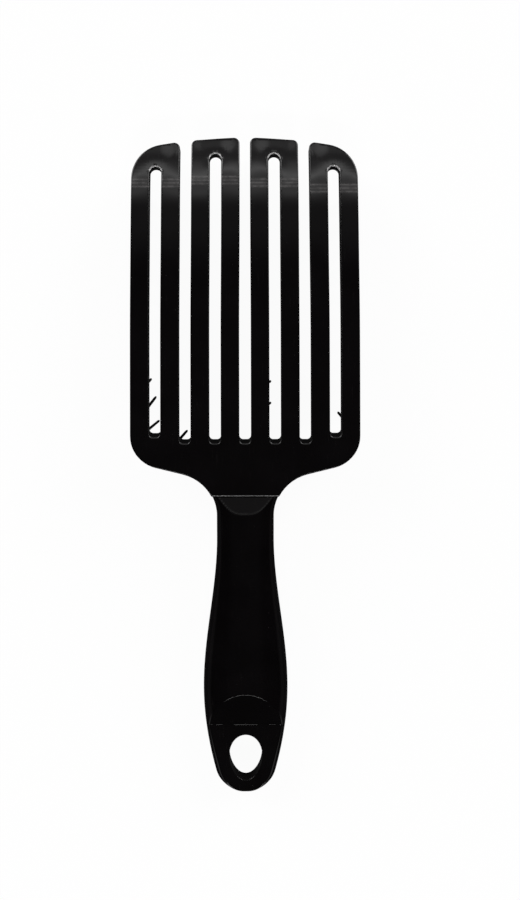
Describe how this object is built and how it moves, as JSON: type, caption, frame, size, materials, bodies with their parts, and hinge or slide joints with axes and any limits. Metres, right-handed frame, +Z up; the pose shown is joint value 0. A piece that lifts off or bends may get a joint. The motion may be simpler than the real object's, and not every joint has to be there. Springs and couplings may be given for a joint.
{
  "type": "vented hair brush",
  "caption": "Flat vented hair brush: bars joined in loops and open at the tips, with bristle strips along their fronts, on a tapered handle with a hang hole.",
  "frame": {"origin": "middle of the brush's box in plan, on the surface that its bristle tips and the belly of its handle lie on", "axes": "+Y from the handle's end to the tips of the bars, +Z up out of the back, +X to the right as the back is seen with the tips at the top"},
  "size_m": [0.0844, 0.2464, 0.0212],
  "materials": {
    "head_plastic": "moulded, satin gloss, near black",
    "handle_plastic": "moulded, satin gloss, near black",
    "bristle_nylon": "drawn nylon, black"
  },
  "bodies": {
    "root": {"head_frame": "head_plastic", "handle": "handle_plastic", "bristle_strip_1": "bristle_nylon", "bristle_strip_2": "bristle_nylon", "bristle_strip_3": "bristle_nylon", "bristle_strip_4": "bristle_nylon", "bristle_strip_5": "bristle_nylon", "bristle_strip_6": "bristle_nylon", "bristle_strip_7": "bristle_nylon", "bristle_strip_8": "bristle_nylon"}
  },
  "joints": []
}
